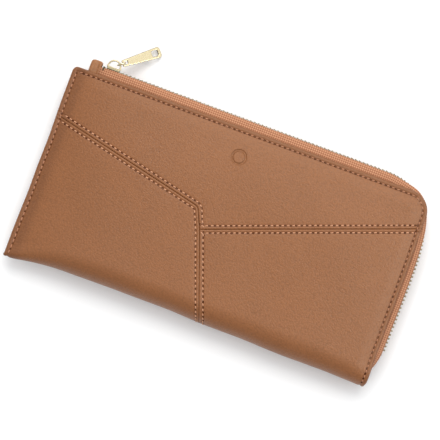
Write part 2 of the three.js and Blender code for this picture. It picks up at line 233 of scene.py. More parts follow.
def fullness(x, y, swell=0.0):
    """Half thickness away from the bottom fold."""
    top = np.clip((y - TOP_SLOPE_START) / (HEIGHT - TOP_SLOPE_START), 0, 1)
    side = np.clip((x - SIDE_SLOPE_START) / (LENGTH - SIDE_SLOPE_START), 0, 1)
    full = HALF + swell - EDGE_DROP * (1 - (1 - top**2) * (1 - side**2))
    grown = 1 - (1 - np.clip(x / SWELL_LENGTH, 0, 1)) ** SWELL_POWER
    return np.minimum(HALF, END_HALF + (full - END_HALF) * grown)


def fold_size(x, swell=0.0):
    """How far the fold reaches in, and the length of its arc."""
    half = fullness(x, np.zeros_like(x), swell)
    reach = FOLD_ROUNDNESS * half
    return reach, math.pi / 4 * (reach + half)


def fold_line(x, swell=0.0):
    """q of the fold's outermost line."""
    reach, arc = fold_size(x, swell)
    return reach - arc


def base_point(x, q, swell):
    """The outer face with no detail."""
    reach, arc = fold_size(x, swell)
    turn = np.clip(1 - (reach - q) / arc, -0.25, 1) * math.pi / 2
    rolled = q < reach
    y = np.where(rolled, reach * (1 - np.cos(turn)), q)
    z = np.where(rolled, fullness(x, y, swell) * np.sin(turn), fullness(x, y, swell))
    return np.stack([x, y + fold_shift(x) * np.clip(1 - y / 40, 0, 1) ** 2, z], axis=-1)


def fold_shift(x):
    """The fold is drawn in where the wallet is full, and pokes out at its flat left end."""
    drawn_in = 1.6 * smooth_step(x, 6, 32) - smooth_step(x, 84, 112)
    drawn_in = drawn_in - 0.8 * smooth_step(x, 125, 155)
    poking_out = 1.9 * np.exp(-((x / 10) ** 2)) + 0.4 * smooth_step(x, 172, 188)
    poking_out = poking_out + 0.2 * smooth_step(x, 186, 193)
    return drawn_in - poking_out


def end_drift(x, y):
    """How far the two ends wander from straight lines."""
    left = 0.25 * bump_at(y, 60, 12) - 0.5 * (1 - smooth_step(y, 10, 34)) + 0.04 * np.sin(0.21 * y)
    right = 0.55 * (1 - smooth_step(y, 60, 90)) + 0.25 * (1 - smooth_step(y, 6, 20))
    right = right - 0.5 * (1 - smooth_step(y, -0.6, 1.4))
    return left * (1 - smooth_step(x, 3, 26)) + right * smooth_step(x, 160, 192)


def base_normal(x, q, swell):
    step = 0.02
    along = base_point(x + step, q, swell) - base_point(x - step, q, swell)
    across = base_point(x, q + step, swell) - base_point(x, q, swell)
    return unit(np.cross(along, across))


def roll_under(x, q):
    """Leather past the trimmed outline turns round the edge and underneath.

    Returns where each point lands, how far it drops below the face, and how far inside the
    finished outline it is."""
    on_left = x < LENGTH / 2
    radius = np.where(on_left, LEFT_CORNER, ZIP_CORNER) - ROLL
    core_x = np.clip(x, ROLL + radius, LENGTH - ROLL - radius)
    core_q = np.minimum(q, HEIGHT - ROLL - radius)
    away = np.hypot(x - core_x, q - core_q)
    inner = np.minimum(np.minimum(x, LENGTH - x), HEIGHT - q) - ROLL
    past = np.where(away > 1e-9, away - radius, -inner)
    past = np.where((x == core_x) | (q == core_q), -inner, past)
    safe = np.maximum(away, 1e-9)
    out_x = np.where(past > 0, (x - core_x) / safe, 0)
    out_q = np.where(past > 0, (q - core_q) / safe, 0)
    turning = np.clip(past, 0, math.pi * ROLL)
    beneath = np.clip(past - math.pi * ROLL, 0, None)
    shift = ROLL * np.sin(turning / ROLL) - beneath - np.clip(past, 0, None)
    drop = ROLL * (1 - np.cos(turning / ROLL))
    return x + out_x * shift, q + out_q * shift, drop, ROLL - past


def rounded_corner(a, b, c, radius, steps=10):
    """Points of the arc that rounds the corner at b between a and c."""
    a, b, c = (np.array(point, float) for point in (a, b, c))
    before = (a - b) / np.linalg.norm(a - b)
    after = (c - b) / np.linalg.norm(c - b)
    half_angle = math.acos(float(before @ after)) / 2
    reach = radius / math.tan(half_angle)
    middle = (before + after) / np.linalg.norm(before + after)
    centre = b + middle * radius / math.sin(half_angle)
    first = b + before * reach - centre
    last = b + after * reach - centre
    start = math.atan2(first[1], first[0])
    sweep = (math.atan2(last[1], last[0]) - start + math.pi) % (2 * math.pi) - math.pi
    angles = start + sweep * np.linspace(0, 1, steps)
    return centre + radius * np.stack([np.cos(angles), np.sin(angles)], axis=1)


def stretch_line(a, b, extra):
    """b moved on past itself, away from a."""
    a, b = np.array(a, float), np.array(b, float)
    return b + (b - a) / np.linalg.norm(b - a) * extra


bend_arc = rounded_corner(SEAM_LEFT, SEAM_BEND, SEAM_FORK, BEND_RADIUS)
seam_start = stretch_line(SEAM_BEND, SEAM_LEFT, BEYOND + 0.2)
seam_end = stretch_line(SEAM_FORK, SEAM_RIGHT, BEYOND + 0.2)
long_seam = np.vstack([seam_start, bend_arc, SEAM_FORK, SEAM_FOLD])
side_seam = np.vstack([SEAM_FORK, seam_end])


def distance_to(line, x, y):
    """Distance in plan from points to a line of straight stretches."""
    nearest = np.full(np.shape(x), 1e9)
    for a, b in zip(line[:-1], line[1:]):
        run = b - a
        t = np.clip(((x - a[0]) * run[0] + (y - a[1]) * run[1]) / (run @ run), 0, 1)
        nearest = np.minimum(nearest, np.hypot(x - a[0] - t * run[0], y - a[1] - t * run[1]))
    return nearest


def soft_waves(x, q):
    """Faint unevenness of stretched leather, about 1 high."""
    return (
        0.45 * np.sin(0.051 * x + 0.083 * q + 1.3)
        + 0.35 * np.sin(0.112 * x - 0.067 * q + 4.1)
        + 0.2 * np.sin(0.178 * x + 0.149 * q + 2.2)
    )


def edge_roll(x, y, inside):
    """How far a cover rolls down to its trimmed edge: most at the right, not at left or fold."""
    depth = 0.4 + 0.6 * smooth_step(x, 150, 190)
    depth = depth * smooth_step(x, 4, 20) * smooth_step(y, 1, 14)
    return depth * (1 - smooth_step(inside, 1.6, 8.5))


def cover_detail(side, x, q, y, inside):
    """Relief of a cover's face and its shade: darker along its edges, with painted shade in
    creases, seams, stitch rows, under its edges and towards its left end. inside is the distance to
    its edge.
    """
    relief = 0.12 * soft_waves(x, q) * smooth_step(inside, 3, 20)
    relief -= 0.26 * bump_at(inside, STITCH_FROM_EDGE, 0.5)
    relief += 0.1 * bump_at(inside, 1.1, 0.6)
    relief -= edge_roll(x, y, inside)
    end_strip = np.exp(-np.clip(x - 2.7, 0, None) / 3.4)
    relief -= end_strip * 0.85 * (fullness(x, y) - END_HALF) * smooth_step(y, 0, 8)
    relief -= 0.53 * (1 - smooth_step(x, 0, 6))  # closes the sewn end, leather on leather
    # painted shade: darker in the groove of the edge stitch row, along the rolled edge and beneath
    # it, in the valley inside the left end's stitches, and a broad painted shade towards the left
    # end, which lies away from the light
    shade = 0.2 * bump_at(inside, STITCH_FROM_EDGE, 0.6)
    shade = shade + 0.22 * (1 - smooth_step(inside, 1.2, 1.9))
    shade = shade + 0.3 * bump_at(x, 5.0, 3.0) + 0.08 * (1 - smooth_step(x, 8, 110))
    if side > 0:
        seam = np.minimum(distance_to(long_seam, x, y), distance_to(side_seam, x, y))
        between_rows = smooth_step(inside, 1.5, 2.4)
        relief -= 0.42 * bump_at(seam, 0, 0.13) * between_rows
        relief += 0.17 * bump_at(seam, 0.8, 0.4)
        relief -= 0.2 * bump_at(seam, STITCH_FROM_SEAM, 0.45)
        relief -= 0.12 * bump_at(seam, 0, 5)
        # painted shade in the seam's groove and in the dips of its stitch rows
        shade = shade + 0.85 * bump_at(seam, 0, 0.09) * between_rows
        shade = shade + 0.15 * bump_at(seam, STITCH_FROM_SEAM, 0.4)
    return relief, np.clip(shade, 0, 1)


def cover_flat(side, x, q):
    """A cover's unrolled places as material coordinates."""
    return np.stack([x, q, np.full(x.shape, SIDE_MARK * side)], axis=1)


def cover_point(side, x, q, lift=0.0, detailed=True):
    """Points on a cover, side 1 for the front and -1 for the back: their places and shade."""
    x, q = np.broadcast_arrays(np.asarray(x, float), np.asarray(q, float))
    swell = 0.0 if side > 0 else BACK_SWELL
    landed_x, landed_q, drop, inside = roll_under(x, q)
    base = base_point(landed_x, landed_q, swell)
    normal = base_normal(landed_x, landed_q, swell)
    relief, shade = cover_detail(side, landed_x, landed_q, base[..., 1], inside)
    if not detailed:
        relief = relief * 0
    tucked = 0.4 * smooth_step(fold_line(landed_x, swell) - landed_q, 0, 0.6)
    points = base + normal * (relief - drop - tucked + lift)[..., None]
    points[..., 0] += end_drift(landed_x, base[..., 1])
    points[..., 2] = np.minimum(points[..., 2], HALF + 0.4 if side > 0 else HALF - 0.001)
    return points * [1, 1, side], shade


# ---------------------------------------------------------------- sampling and patches

# Where a cover's points lie, measured in from a seam, from a trimmed edge and from the fold
FINE_SEAM = (0, 0.1, 0.2, 0.32, 0.45, 0.6, 0.8, 1.05, 1.35, 1.65, 1.9, 2.2, 2.6, 3.1, 3.8, 4.8)
FINE_EDGE = (*np.linspace(0, UNDER, 3), *(UNDER + math.pi * ROLL * np.linspace(0, 1, 9)[1:]))
FINE_EDGE += tuple(FINE_EDGE[-1] + d for d in (0.3, 0.6, 0.9, 1.2, 1.5, 1.8, 2.2, 2.7, 3.4, 4.4))
FINE_FOLD = tuple(np.linspace(0, 16, 15))
STEP = 1.3  # between the points elsewhere


def spread(length, low, high):
    """Places from 0 to 1 along a length: closely spaced as given at each end, even between."""
    low, high = np.array(low), length - np.array(high)[::-1]
    between = max(2, int(round((high[0] - low[-1]) / STEP)))
    middle = np.linspace(low[-1], high[0], between + 1)[1:-1]
    return np.concatenate([low, middle, high]) / length


def line_length(line):
    return float(np.sum(np.linalg.norm(np.diff(line, axis=0), axis=1)))


def along_line(line, share):
    """Points at given shares of a line's length."""
    line = np.asarray(line, float)
    run = np.concatenate([[0], np.cumsum(np.linalg.norm(np.diff(line, axis=0), axis=1))])
    target = np.asarray(share) * run[-1]
    return np.stack([np.interp(target, run, line[:, k]) for k in range(line.shape[1])], axis=1)


def coons(bottom, top, left, right, a, b):
    """A patch of points between four edges that meet, at shares a along and b across."""
    a, b = a[:, None, None], b[None, :, None]
    ruled = (1 - b) * bottom[:, None] + b * top[:, None] + (1 - a) * left[None] + a * right[None]
    corners = (1 - a) * (1 - b) * bottom[0] + a * (1 - b) * bottom[-1]
    return ruled - corners - (1 - a) * b * top[0] - a * b * top[-1]


def seam_x(q):
    """Length at which the lower seam crosses q, on round the fold."""
    reach, arc = fold_size(np.full(np.shape(q), SEAM_FOLD[0]))
    turn = np.clip(1 - (reach - q) / arc, 0, 1) * math.pi / 2
    y = np.where(q < reach, reach * (1 - np.cos(turn)), q)
    share = (SEAM_FORK[1] - y) / SEAM_FORK[1]
    return SEAM_FORK[0] + share * (SEAM_FOLD[0] - SEAM_FORK[0])


def seam_down(top, share):
    """Points of the lower seam from the fold up to height top."""
    bottom = float(fold_line(np.array(SEAM_FOLD[0]))) - TUCK
    q = bottom + share * (top - bottom)
    return np.stack([seam_x(q), q], axis=1)


def patch_mesh(name, grid, side):
    """A cover piece from its grid of unrolled places."""
    rows, columns = grid.shape[:2]
    x, q = grid[..., 0].ravel(), grid[..., 1].ravel()
    points, shade = cover_point(side, x, q)
    faces = grid_faces(rows, columns, flip=side < 0)
    return new_mesh(name, points, faces, cover_flat(side, x, q), shade)


def upper_grid():
    low_seam = np.vstack([seam_start, bend_arc, SEAM_FORK, seam_end])
    low = along_line(low_seam, spread(line_length(low_seam), FINE_EDGE, FINE_EDGE))
    near_bend = np.linspace(SEAM_BEND[0] - 6, SEAM_FORK[0] + 6, 26)
    x = np.unique(np.concatenate([low[:, 0], near_bend]))
    x = x[np.concatenate([[True], np.diff(x) > 0.08])]
    top = HEIGHT + BEYOND
    low_ends, high_ends = np.array(FINE_SEAM), np.array(FINE_EDGE)[::-1]
    between = len(spread(45.0, FINE_SEAM, FINE_EDGE)) - len(low_ends) - len(high_ends)
    rows = []
    for seam_height in np.interp(x, low_seam[:, 0], low_seam[:, 1]):
        low, high = seam_height + low_ends, top - high_ends
        middle = np.linspace(low[-1], high[0], between + 2)[1:-1]
        rows.append(np.concatenate([low, middle, high]))
    q = np.array(rows)
    return np.stack([np.broadcast_to(x[:, None], q.shape), q], axis=-1)


def lower_left_grid():
    bend_middle = len(bend_arc) // 2
    top_line = np.vstack([seam_start, bend_arc[: bend_middle + 1]])
    a = spread(90.0, FINE_EDGE, FINE_SEAM)
    b = spread(80.0, FINE_FOLD, FINE_SEAM)
    top = along_line(top_line, a)
    corner = top_line[-1]
    below = seam_down(SEAM_FORK[1], np.linspace(0, 1, 60))
    right = along_line(np.vstack([below, bend_arc[::-1][:bend_middle], corner]), b)
    x = top[0, 0] + a * (right[0, 0] - top[0, 0])
    bottom = np.stack([x, fold_line(x) - TUCK], axis=1)
    left_q = bottom[0, 1] + b * (top[0, 1] - bottom[0, 1])
    left = np.stack([np.full(b.shape, top[0, 0]), left_q], axis=1)
    return coons(bottom, top, left, right, a, b)


def lower_right_grid():
    a = spread(100.0, FINE_SEAM, FINE_EDGE)
    b = spread(70.0, FINE_FOLD, FINE_SEAM)
    top = along_line(side_seam, a)
    left = seam_down(SEAM_FORK[1], b)
    x = left[0, 0] + a * (top[-1, 0] - left[0, 0])
    bottom = np.stack([x, fold_line(x) - TUCK], axis=1)
    right_q = bottom[-1, 1] + b * (top[-1, 1] - bottom[-1, 1])
    right = np.stack([np.full(b.shape, top[-1, 0]), right_q], axis=1)
    return coons(bottom, top, left, right, a, b)


def back_grid():
    x = -BEYOND + spread(LENGTH + 2 * BEYOND, FINE_EDGE, FINE_EDGE) * (LENGTH + 2 * BEYOND)
    b = spread(HEIGHT + 14, FINE_FOLD, FINE_EDGE)
    bottom = fold_line(x, BACK_SWELL)
    q = bottom[:, None] + b[None] * (HEIGHT + BEYOND - bottom[:, None])
    return np.stack([np.broadcast_to(x[:, None], q.shape), q], axis=-1)


# ---------------------------------------------------------------- stitching

def offset_line(line, distance):
    """A line moved sideways, to its left, by a distance."""
    line = np.asarray(line, float)
    runs = unit(np.diff(line, axis=0))
    before = np.vstack([runs[:1], runs])
    after = np.vstack([runs, runs[-1:]])
    mean = unit(before + after)
    widen = 1 / np.sum(mean * before, axis=1)
    return line + left_of(mean) * distance * widen[:, None]


def seam_rows():
    """The three rows of stitches that hold the front's seams open, each just inside one piece."""
    left_end = np.array([3.6, SEAM_LEFT[1] + (SEAM_BEND[1] - SEAM_LEFT[1]) * 3.6 / SEAM_BEND[0]])
    right_end = stretch_line(SEAM_FORK, SEAM_RIGHT, -3.4)
    down = seam_down(SEAM_FORK[1], np.linspace(1, 0, 30))
    over = rounded_corner(bend_arc[-1], SEAM_FORK, right_end, 1.2, 5)
    upper = np.vstack([left_end, bend_arc, over, right_end])
    left = np.vstack([left_end, bend_arc, down])
    right_corner = rounded_corner(down[8], SEAM_FORK, right_end, 1.0, 5)
    right = np.vstack([down[::-1][:-8], right_corner, right_end])
    return [
        offset_line(upper, STITCH_FROM_SEAM),
        offset_line(left, -STITCH_FROM_SEAM),
        offset_line(right, -STITCH_FROM_SEAM),
    ]


def edge_rows():
    """The rows round a cover's trimmed edges: the left end's, and the top's with the right's."""
    inset = STITCH_FROM_EDGE
    left = np.array([[inset, 1.5], [inset, HEIGHT - 3.2]])
    radius = ZIP_CORNER - inset
    turn = np.linspace(math.pi / 2, 0, 14)
    corner = np.array([LENGTH - ZIP_CORNER, HEIGHT - ZIP_CORNER])
    arc = corner + radius * np.stack([np.cos(turn), np.sin(turn)], axis=1)
    top = np.vstack([[3.4, HEIGHT - inset], arc, [LENGTH - inset, 1.0]])
    return [left, top]


def stitches(lines):
    """The middle of each stitch along some lines, and the way it runs."""
    centres, directions = [], []
    for line in lines:
        length = line_length(line)
        count = int(length // STITCH_PITCH)
        share = (np.arange(count) + 0.5) / count
        before, after = (along_line(line, np.clip(share + d / length, 0, 1)) for d in (-0.5, 0.5))
        centres.append(along_line(line, share))
        directions.append(unit(after - before))
    return np.vstack(centres), np.vstack(directions)


def thread_mesh(name, side, lines, half_length):
    """One short arched strand of thread for each stitch, leaning a little across its row."""
    rings, sides = 7, 8
    radius, lean = 0.3, 0.1
    centres, run = stitches(lines)
    run = unit(run + lean * left_of(run))
    t = np.linspace(-1, 1, rings)[None, :, None]
    rounded = np.sqrt(np.clip(1 - t**2, 0, 1))
    thick = radius * (0.55 + 0.45 * rounded)
    angle = np.arange(sides) * 2 * math.pi / sides
    lift = 0.34 * rounded - 0.12 + thick * np.sin(angle)
    along, sideways = run[:, :, None, None] * t * half_length, thick * np.cos(angle)
    x, q = (
        centres[:, k, None, None] + along[:, k] + left_of(run)[:, k, None, None] * sideways
        for k in (0, 1)
    )
    points, _ = cover_point(side, x.ravel(), q.ravel(), np.broadcast_to(lift, x.shape).ravel())
    ring = np.arange(sides)
    one = [*ring_faces(rings, sides), ring[::-1], ring + (rings - 1) * sides]
    faces = copied_faces(one, rings * sides, len(points))
    wind = np.broadcast_to(t * half_length, x.shape).ravel()
    flat = np.stack([wind, np.broadcast_to(angle, x.shape).ravel(), 0 * wind], axis=1)
    return new_mesh(name, points, faces, flat)


def hole_mesh(name, side, lines, half_length):
    """The needle's holes, as small dark hollows between the stitches."""
    sides = 10
    half_width, aside = 0.47, 0.12
    centres, run = stitches(lines)
    across = left_of(run)
    middle = centres + run * STITCH_PITCH / 2 - across * aside
    angle = np.arange(sides) * 2 * math.pi / sides
    rings = ((1.0, 0.02), (0.8, 0.045), (0.5, -0.01))  # share of the size, height
    x, q, lift = [], [], []
    for share, height in rings:
        along = share * half_length * np.cos(angle)
        sideways = share * half_width * np.sin(angle)
        x.append(middle[:, :1] + run[:, :1] * along + across[:, :1] * sideways)
        q.append(middle[:, 1:] + run[:, 1:] * along + across[:, 1:] * sideways)
        lift.append(np.full(x[-1].shape, height))
    x, q, lift = (np.stack(value, axis=1) for value in (x, q, lift))
    points, _ = cover_point(side, x.ravel(), q.ravel(), lift.ravel())
    one = [*ring_faces(len(rings), sides), np.arange(sides) + (len(rings) - 1) * sides]
    faces = copied_faces([face[::side] for face in one], len(rings) * sides, len(points))
    return new_mesh(name, points, faces)


# ---------------------------------------------------------------- sheets inside

def slab_mesh(name, face, under, shape, flat):
    """A closed thin piece from two facing grids of points, each of this many rows and columns."""
    points = np.vstack([face, under])
    count = len(face)
    index = np.arange(count).reshape(shape)
    border = np.concatenate([index[:-1, 0], index[-1, :-1], index[:0:-1, -1], index[0, :0:-1]])
    after = np.roll(border, -1)
    rim = np.stack([border, after, after + count, border + count], axis=1)
    faces = np.vstack([grid_faces(*shape), grid_faces(*shape, count, flip=True), rim])
    piece = new_mesh(name, points, faces, np.vstack([flat, flat]))
    face_outward(piece)
    return piece


def inner_sheet(name, side, depth, thickness, span, hem=0.0, corner=3.0):
    """A sheet that follows the inside of a cover, with rounded top corners and a thick top hem."""
    left, right, bottom, top = span
    across = spread(top - bottom, (0, 1), (0, 0.3, 0.8, 1.4, 2.2))
    u, v = np.meshgrid(np.linspace(0, 1, 96), across, indexing="ij")
    x, q = left + u * (right - left), bottom + v * (top - bottom)
    near_end = np.minimum(x - left, right - x)
    cut_in = np.clip(corner - near_end, 0, corner)
    trim = corner - np.sqrt(np.clip(corner**2 - cut_in**2, 0, None))
    q = q - trim * smooth_step(v, 0.5, 1)
    under_lift = -(depth + thickness) - hem * smooth_step(q, top - 2.6, top - 1.6).ravel()
    x, q = x.ravel(), q.ravel()
    face, _ = cover_point(side, x, q, -depth, detailed=False)
    under, _ = cover_point(side, x, q, under_lift, detailed=False)
    return slab_mesh(name, face, under, u.shape, cover_flat(side, x, q))


def flat_sheet(name, low, thickness, span):
    """The divider: a flat sheet with a gentle wave along its free top edge."""
    left, right, bottom, top = span
    u, v = np.meshgrid(np.linspace(0, 1, 90), np.linspace(0, 1, 44), indexing="ij")
    x, y = left + u * (right - left), bottom + v * (top - bottom)
    wave = 0.35 * v**2 * np.sin(u * 7.5)
    flat = np.stack([x.ravel(), y.ravel(), 0 * x.ravel()], axis=1)
    under = np.stack([x, y, low + wave], axis=-1).reshape(-1, 3)
    return slab_mesh(name, under + [0, 0, thickness], under, u.shape, flat)


# ---------------------------------------------------------------- zip

def bent_line(start, bend, end, steps=14):
    """A smooth turn from start to end, aimed at the bend between them, without the start itself."""
    start, bend, end = (np.array(point, float) for point in (start, bend, end))
    t = np.linspace(0, 1, steps)[1:, None]
    return (1 - t) ** 2 * start + 2 * t * (1 - t) * bend + t**2 * end


def chain_line():
    """The zip's line in plan along the outer faces of its teeth, to the teeth's end."""
    turns = np.array([*CHAIN_BENDS, CHAIN_END])
    half_way = (turns[:-1] + turns[1:]) / 2
    line = [[[TAPE_START, CHAIN_TOP]], half_way[:1]]
    for k in range(1, len(CHAIN_BENDS)):
        line.append(bent_line(half_way[k - 1], turns[k], half_way[k]))
    return np.vstack([*line, [CHAIN_END]])


def tape_line():
    """The same, from inside the end tab to the tape's tail where it tucks in between the covers."""
    tail = bent_line(CHAIN_END, TAIL_BEND, TAPE_END)
    return np.vstack([[TAPE_START - TAPE_TUCK, CHAIN_TOP], chain_line(), tail])


def line_frames(line, distance):
    """Places at distances along a line, the direction there, and the direction inward."""
    length = line_length(line)
    distance = np.asarray(distance, float)
    here = along_line(line, distance / length)
    ahead = along_line(line, np.clip(distance + 0.6, 0, length) / length)
    behind = along_line(line, np.clip(distance - 0.6, 0, length) / length)
    run = unit(ahead - behind)
    return here, run, -left_of(run)


def chaikin(points):
    """Rounds a line of control points, given along the first axis, by cutting its corners twice."""
    for _ in range(2):
        near = 0.75 * points[:-1] + 0.25 * points[1:]
        far = 0.25 * points[:-1] + 0.75 * points[1:]
        middle = np.stack([near, far], axis=1).reshape(-1, *points.shape[1:])
        points = np.concatenate([points[:1], middle, points[-1:]])
    return points


def round_corner(here):
    """1 where the zip turns its corner and the tape bulges over the teeth, 0 on the straights."""
    return smooth_step(here[:, 0], 176, 187) * smooth_step(here[:, 1], 72, 86)


def tape_route(here, inward):
    """The tape across its width, from the teeth to its edge behind the cover: inset and height."""
    under_skin = LEATHER + GAP + TAPE / 2

    def skin_over(inset):
        spot = here + inward * inset
        x, y = np.minimum(spot[:, 0], LENGTH), np.minimum(spot[:, 1], HEIGHT)
        rolled = edge_roll(x, y, np.minimum(LENGTH - x, HEIGHT - y))
        return base_point(x, y, 0.0)[:, 2] - rolled - under_skin

    low = ROW_OUTER - 0.9
    bend = skin_over(3.2)
    corner = round_corner(here)
    straight = np.ones(len(here))
    steps = [
        (1.18 * straight, low * straight),
        (1.18 * straight, (low + 1.05) * straight),
        (0.7 - 0.5 * corner, np.minimum(low + 1.8, bend)),
        (1.2 - 0.4 * corner, np.minimum(low + 2.9, bend)),
        (3.2 * straight, np.minimum(low + 3.6, bend)),
        (4.8 * straight, skin_over(4.8)),
        (7.0 * straight, skin_over(7.0)),
    ]
    pinched = 0.2 + 0.8 * smooth_step(here[:, 0], TAPE_START - TAPE_TUCK, TAPE_START + 2)
    return np.stack([np.stack([inset, height * pinched], axis=1) for inset, height in steps])


def tape_mesh(name, side):
    """Half of the woven tape, one closed strip."""
    line = tape_line()
    length = line_length(line)
    distance = np.linspace(0, length, 210)
    here, _, inward = line_frames(line, distance)
    route = chaikin(tape_route(here, inward))
    run = unit(np.gradient(route, axis=0))
    outward = np.stack([-run[..., 1], run[..., 0]], axis=-1)
    bead = 1 + 0.8 * np.exp(-((np.arange(len(route)) / 2.0) ** 2))[:, None, None]
    outer, inner = route + outward * TAPE / 2 * bead, route - outward * TAPE / 2 * bead
    ring = np.concatenate([outer, inner[::-1]])
    across = np.linalg.norm(np.diff(route[:, len(here) // 2], axis=0), axis=1)
    width = np.concatenate([[0], np.cumsum(across)])
    width = np.concatenate([width, width[::-1]])
    inset, height = ring[..., 0], ring[..., 1] * side
    x = here[:, 0] + inward[:, 0] * inset
    y = here[:, 1] + inward[:, 1] * inset
    points = np.stack([x, y, height], axis=-1).transpose(1, 0, 2).reshape(-1, 3)
    sides = len(ring)
    flat = np.zeros((len(distance), sides, 3))
    flat[..., 0] = distance[:, None]
    flat[..., 1] = width[None]
    caps = range(sides), range(len(points) - sides, len(points))[::-1]
    faces = [*ring_faces(len(distance), sides), *caps]
    piece = new_mesh(name, points, faces, flat.reshape(-1, 3))
    face_outward(piece)
    return piece


def tooth_shape():
    """One tooth as points (along, inset, height) and faces: a head and two legs round the tape."""
    outline = [
        (0.0, 2.6), (0.75, 2.75), (0.81, 1.6), (1.54, 1.6), (1.6, 2.75), (2.1, 2.6),
        (2.1, 0.95), (1.75, 0.5), (1.62, -0.42), (0.68, -0.42), (0.55, 0.5), (0.2, 0.95),
    ]
    half = 0.45
    work = bmesh.new()
    corners = [work.verts.new((-half, inset, height)) for inset, height in outline]
    face = work.faces.new(corners)
    moved = bmesh.ops.extrude_face_region(work, geom=[face])["geom"]
    far_corners = [v for v in moved if isinstance(v, bmesh.types.BMVert)]
    bmesh.ops.translate(work, vec=(2 * half, 0, 0), verts=far_corners)
    bmesh.ops.recalc_face_normals(work, faces=work.faces)
    edges = list(work.edges)
    bmesh.ops.bevel(work, geom=edges, offset=0.09, segments=1, affect="EDGES", clamp_overlap=True)
    work.verts.index_update()
    points = np.array([v.co[:] for v in work.verts])
    faces = []
    for face in work.faces:
        loop = [v.index for v in face.verts]
        first = loop.index(min(loop))
        faces.append(loop[first:] + loop[:first])
    work.free()
    return points, sorted(faces)  # sorted, as the bevel doesn't store them in the same order twice


def teeth_mesh(name, side):
    """One row of teeth along the zip. The back row stands half a pitch on, so that the two mesh."""
    line = chain_line()
    first = FIRST_TOOTH + (0 if side > 0 else TOOTH_PITCH / 2)
    distance = np.arange(first, line_length(line) - 0.5, TOOTH_PITCH)
    here, run, inward = line_frames(line, distance)
    shape, shape_faces = tooth_shape()
    along, inset, height = shape.T
    on_side = smooth_step(here[:, :1], 185, 196)
    proud, back = (a + (b - a) * on_side for a, b in (ROW_PROUD, BACK_ROW_INSET))
    inset = inset - proud + (0 if side > 0 else back) + 0.55 * round_corner(here)[:, None]
    x = here[:, :1] + run[:, :1] * along + inward[:, :1] * inset
    y = here[:, 1:] + run[:, 1:] * along + inward[:, 1:] * inset
    z = np.broadcast_to(height * side, x.shape)
    points = np.stack([x, y, z], axis=-1).reshape(-1, 3)
    faces = copied_faces(shape_faces, len(shape), len(points))
    piece = new_mesh(name, points, faces, points)
    face_outward(piece)
    piece.data.shade_flat()
    return piece


# ---------------------------------------------------------------- plates, rings and tubes

def rounded_outline(corners, radii):
    """A closed outline whose corners are rounded, by one radius or by each its own."""
    count = len(corners)
    radii = np.broadcast_to(radii, count)
    parts = []
    for k in range(count):
        a, b, c = corners[k - 1], corners[k], corners[(k + 1) % count]
        parts.append(rounded_corner(a, b, c, radii[k], 8))
    return np.vstack(parts)


def rounded_box(low, high, radius):
    """The outline of a rounded rectangle, from its lowest and highest corners."""
    corners = [(low[0], low[1]), (high[0], low[1]), (high[0], high[1]), (low[0], high[1])]
    return rounded_outline(corners, radius)


def plate_mesh(name, outline, holes, thickness, bevel):
    """A flat plate with softened edges, cut from an outline and its holes, in the plane z = 0."""
    curve = bpy.data.curves.new(name, "CURVE")
    curve.dimensions = "2D"
    curve.fill_mode = "BOTH"
    curve.extrude = thickness / 2 - bevel
    curve.bevel_depth = bevel
    curve.bevel_resolution = 3
    curve.offset = -bevel
    for loop in (outline, *holes):
        spline = curve.splines.new("POLY")
        spline.points.add(len(loop) - 1)
        for point, (x, y) in zip(spline.points, loop):
            point.co = (x, y, 0, 1)
        spline.use_cyclic_u = True
    maker = bpy.data.objects.new(name, curve)
    bpy.context.scene.collection.objects.link(maker)
    bpy.context.view_layer.update()
    graph = bpy.context.evaluated_depsgraph_get()
    mesh = bpy.data.meshes.new_from_object(maker.evaluated_get(graph))
    points = np.array([v.co[:] for v in mesh.vertices])
    faces = [tuple(face.vertices) for face in mesh.polygons]
    bpy.data.objects.remove(maker)
    bpy.data.curves.remove(curve)
    bpy.data.meshes.remove(mesh)
    return points, faces


def tube_mesh(path, normal_to, wide, tall, closed=False):
    """A tube along a path lying in one plane, wide within the plane and tall across it."""
    sides, squareness = 14, 0.75
    path = np.asarray(path, float)
    if closed:
        run = np.roll(path, -1, axis=0) - np.roll(path, 1, axis=0)
    else:
        run = np.gradient(path, axis=0)
    up = np.array(normal_to, float)
    outward = np.cross(unit(run), up)
    angle = np.arange(sides) * 2 * math.pi / sides
    cosine, sine = (np.sign(w) * np.abs(w) ** squareness for w in (np.cos(angle), np.sin(angle)))
    ring = outward[:, None] * (wide * cosine)[None, :, None] + up * (tall * sine)[None, :, None]
    points = (path[:, None] + ring).reshape(-1, 3)
    if closed:
        return points, ring_faces(len(path) + 1, sides) % len(points)
    caps = range(sides), range(len(points) - sides, len(points))
    return points, [*ring_faces(len(path), sides), *caps]


def joined(parts):
    """Several (points, faces) as one."""
    points, faces, first = [], [], 0
    for part_points, part_faces in parts:
        points.append(part_points)
        faces += [np.asarray(face) + first for face in part_faces]
        first += len(part_points)
    return np.vstack(points), faces


def turned(part, axes, origin):
    """A part moved into place: axes are where its own x, y and z go."""
    points, faces = part
    return points @ np.array(axes, float) + np.array(origin, float), faces


def local_box(node):
    """A CAD node's lowest and highest corners in the wallet's own corner frame, in mm."""
    return tuple(np.array(corner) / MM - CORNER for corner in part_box(node))


def metal_piece(name, part, material, slot, body, node, darkening=None):
    """A metal part in place. Its last argument darkens each of its points: painted shade and dark
    reflection on rims, or an even darkening.
    """
    points, faces = part
    piece = new_mesh(name, points, faces, points, darkening)
    face_outward(piece)
    piece.data.set_sharp_from_angle(angle=math.radians(35))
    finish_piece(piece, material, slot, body, (node,))


# ---------------------------------------------------------------- slider and pull

# Where the x, y and z of a plate go that stands upright, facing the wallet's top edge
UPRIGHT = [(1, 0, 0), (0, 0, 1), (0, -1, 0)]


